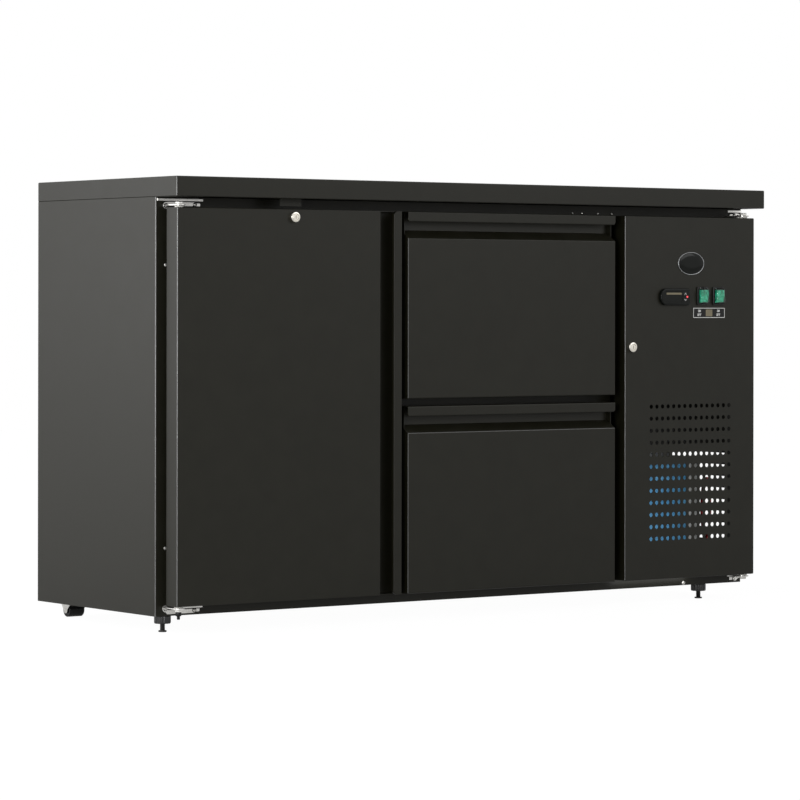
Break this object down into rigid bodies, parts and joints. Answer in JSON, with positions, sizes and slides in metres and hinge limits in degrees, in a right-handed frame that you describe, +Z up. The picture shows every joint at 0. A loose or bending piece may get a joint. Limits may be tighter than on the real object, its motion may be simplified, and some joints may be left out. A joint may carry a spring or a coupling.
{
  "type": "back bar cooler",
  "caption": "Low black bottle cooler with a flat worktop, one hinged door, two drawers with folded grips, and a perforated door over its machine compartment.",
  "frame": {"origin": "centre of the footprint on the floor", "axes": "+X along the front from the door to the machine compartment, +Y from the front to the back, +Z up"},
  "size_m": [1.462, 0.513, 0.86],
  "materials": {
    "black_steel": "satin",
    "stainless": "satin",
    "galvanised": "satin",
    "zinc": "satin",
    "foam": "matte",
    "liner": "satin",
    "door_liner": "gloss",
    "gasket": "matte",
    "wire": "polished",
    "fins": "satin",
    "black_paint": "satin",
    "black_plastic": "satin",
    "grey_plastic": "satin",
    "nylon": "satin",
    "white_key": "satin",
    "green_lens": "gloss",
    "nickel": "polished",
    "copper": "satin",
    "motor": "satin"
  },
  "bodies": {
    "cabinet": {"worktop": "black_steel", "case_top": "black_steel", "left_side_panel": "black_steel", "right_side_panel": "black_steel", "back_panel": "black_steel", "base_pan": "black_steel", "cabinet_foam": "foam", "inner_liner": "liner", "partition_panel": "galvanised", "front_frame": "black_steel", "liner_fittings": "stainless", "wire_shelf": "wire", "runner_rails": "zinc", "evaporator_coil": "fins", "evaporator_cover": "door_liner", "compressor": "black_paint", "machine_base": "galvanised", "condenser_coil": "fins", "condenser_shroud": "galvanised", "fan_motors": "motor", "refrigerant_pipes": "copper", "electrical_box": "grey_plastic", "roller_brackets": "zinc", "hinge_brackets": "zinc"},
    "door": {"door_skin": "black_steel", "door_grip_edge": "black_steel", "door_foam": "foam", "door_liner": "door_liner", "door_gasket": "gasket", "door_hinge_bushes": "nylon", "door_lock_body": "nickel"},
    "door_cam": {"door_lock_cam": "nickel"},
    "machine_door": {"service_panel": "black_steel", "controller": "black_plastic", "switch_bezels": "black_plastic", "panel_hinge_bushes": "nylon", "panel_lock_body": "nickel"},
    "panel_cam": {"panel_lock_cam": "nickel"},
    "switch_left": {"rocker_left": "green_lens"},
    "switch_right": {"rocker_right": "green_lens"},
    "key_up": {"controller_key_up": "white_key"},
    "key_down": {"controller_key_down": "white_key"},
    "condenser_fan_wheel": {"condenser_fan": "black_plastic"},
    "evaporator_fan_wheel": {"evaporator_fan": "black_plastic"},
    "foot_left": {"front_foot_left": "black_plastic"},
    "foot_right": {"front_foot_right": "black_plastic"},
    "roller_left": {"rear_roller_left": "grey_plastic"},
    "roller_right": {"rear_roller_right": "grey_plastic"},
    "upper_drawer": {"upper_drawer_front": "black_steel", "upper_drawer_grip_edge": "black_steel", "upper_drawer_foam": "foam", "upper_drawer_gasket": "gasket", "upper_drawer_box": "stainless"},
    "upper_slides": {"upper_drawer_slides": "zinc"},
    "lower_drawer": {"lower_drawer_front": "black_steel", "lower_drawer_grip_edge": "black_steel", "lower_drawer_foam": "foam", "lower_drawer_gasket": "gasket", "lower_drawer_box": "stainless"},
    "lower_slides": {"lower_drawer_slides": "zinc"}
  },
  "joints": [
    {"name": "door_hinge", "type": "hinge", "parent": "cabinet", "child": "door", "pos_m": [-0.703, -0.2205, 0.4275], "axis": [0, 0, -1], "range_deg": [0, 105]},
    {"name": "machine_door_hinge", "type": "hinge", "parent": "cabinet", "child": "machine_door", "pos_m": [0.703, -0.2205, 0.4275], "axis": [0, 0, 1], "range_deg": [0, 105]},
    {"name": "door_lock_turn", "type": "hinge", "parent": "door", "child": "door_cam", "pos_m": [-0.454, -0.2385, 0.787], "axis": [0, -1, 0], "range_deg": [0, 90]},
    {"name": "panel_lock_turn", "type": "hinge", "parent": "machine_door", "child": "panel_cam", "pos_m": [0.383, -0.2385, 0.5326], "axis": [0, -1, 0], "range_deg": [0, 90]},
    {"name": "upper_drawer_travel", "type": "slide", "parent": "cabinet", "child": "upper_drawer", "axis": [0, -1, 0], "range_m": [0, 0.3]},
    {"name": "lower_drawer_travel", "type": "slide", "parent": "cabinet", "child": "lower_drawer", "axis": [0, -1, 0], "range_m": [0, 0.3]},
    {"name": "upper_slides_travel", "type": "slide", "parent": "cabinet", "child": "upper_slides", "axis": [0, -1, 0], "range_m": [0, 0.15]},
    {"name": "lower_slides_travel", "type": "slide", "parent": "cabinet", "child": "lower_slides", "axis": [0, -1, 0], "range_m": [0, 0.15]},
    {"name": "switch_left_rock", "type": "hinge", "parent": "machine_door", "child": "switch_left", "pos_m": [0.5739, -0.2385, 0.638], "axis": [-1, 0, 0], "range_deg": [0, 16]},
    {"name": "switch_right_rock", "type": "hinge", "parent": "machine_door", "child": "switch_right", "pos_m": [0.6171, -0.2385, 0.638], "axis": [-1, 0, 0], "range_deg": [0, 16]},
    {"name": "key_up_press", "type": "slide", "parent": "machine_door", "child": "key_up", "axis": [0, 1, 0], "range_m": [0, 0.001], "stiffness_N_per_m": 300},
    {"name": "key_down_press", "type": "slide", "parent": "machine_door", "child": "key_down", "axis": [0, 1, 0], "range_m": [0, 0.001], "stiffness_N_per_m": 300},
    {"name": "condenser_fan_spin", "type": "hinge", "parent": "cabinet", "child": "condenser_fan_wheel", "pos_m": [0.49375, -0.0592, 0.161], "axis": [0, 1, 0], "continuous": true},
    {"name": "evaporator_fan_spin", "type": "hinge", "parent": "cabinet", "child": "evaporator_fan_wheel", "pos_m": [0.2035, 0.176, 0.617], "axis": [0, 1, 0], "continuous": true},
    {"name": "roller_left_spin", "type": "hinge", "parent": "cabinet", "child": "roller_left", "pos_m": [-0.6665, 0.2235, 0.014], "axis": [1, 0, 0], "continuous": true},
    {"name": "roller_right_spin", "type": "hinge", "parent": "cabinet", "child": "roller_right", "pos_m": [0.6665, 0.2235, 0.014], "axis": [1, 0, 0], "continuous": true},
    {"name": "foot_left_turn", "type": "hinge", "parent": "cabinet", "child": "foot_left", "pos_m": [-0.698, -0.1565, 0.0075], "axis": [0, 0, 1], "continuous": true},
    {"name": "foot_right_turn", "type": "hinge", "parent": "cabinet", "child": "foot_right", "pos_m": [0.635, -0.1565, 0.0075], "axis": [0, 0, 1], "continuous": true}
  ],
  "couplings": [
    {"joint": "upper_slides_travel", "follows": "upper_drawer_travel", "ratio": 0.5},
    {"joint": "lower_slides_travel", "follows": "lower_drawer_travel", "ratio": 0.5}
  ]
}
